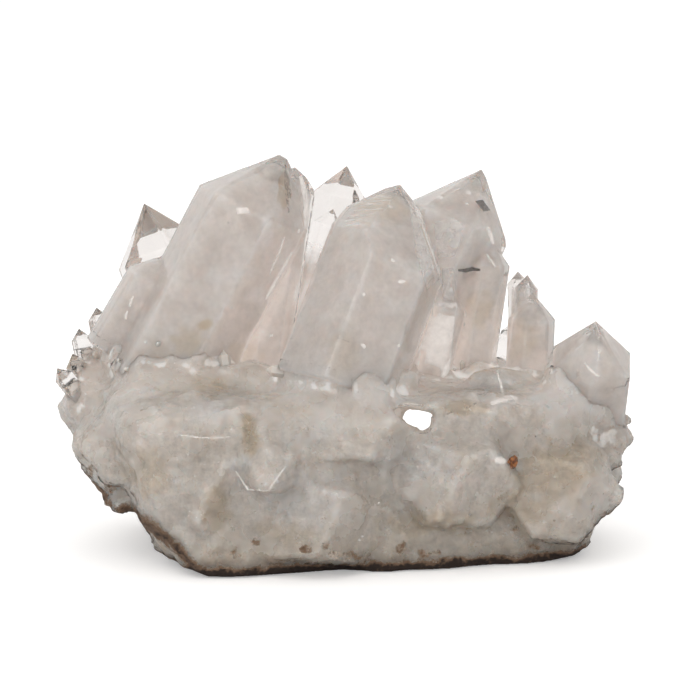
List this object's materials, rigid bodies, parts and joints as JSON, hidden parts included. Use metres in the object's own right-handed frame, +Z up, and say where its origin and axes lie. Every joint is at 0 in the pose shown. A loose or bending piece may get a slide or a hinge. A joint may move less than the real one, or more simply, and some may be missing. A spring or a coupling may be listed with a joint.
{
  "type": "quartz crystal cluster",
  "caption": "Cluster of translucent quartz crystals leaning out of a massive milky quartz matrix, cut flat underneath so that it rests on a shelf or table.",
  "frame": {"origin": "on the flat cut base, under the middle of the whole cluster's box", "axes": "+X along the cluster's long side to the right, +Y to its back, +Z up"},
  "size_m": [0.1392, 0.096, 0.0949],
  "materials": {
    "matrix": "matte, rough broken milky quartz, brown below",
    "milky_quartz": "milky translucent quartz, satin to glossy growth faces",
    "clear_quartz": "clear quartz, glossy growth faces"
  },
  "bodies": {
    "root": {"matrix": "matrix", "main_left_crystal": "milky_quartz", "centre_crystal": "milky_quartz", "right_crystal": "milky_quartz", "far_right_crystal": "milky_quartz", "right_shoulder_crystal": "milky_quartz", "back_centre_crystal": "clear_quartz", "back_left_crystal": "clear_quartz", "left_point_1": "clear_quartz", "left_point_2": "clear_quartz", "left_point_3": "clear_quartz", "left_point_4": "clear_quartz", "back_crystal_1": "clear_quartz", "back_crystal_2": "clear_quartz", "back_crystal_3": "clear_quartz", "back_crystal_4": "clear_quartz", "back_crystal_5": "clear_quartz", "back_crystal_6": "clear_quartz"}
  },
  "joints": []
}
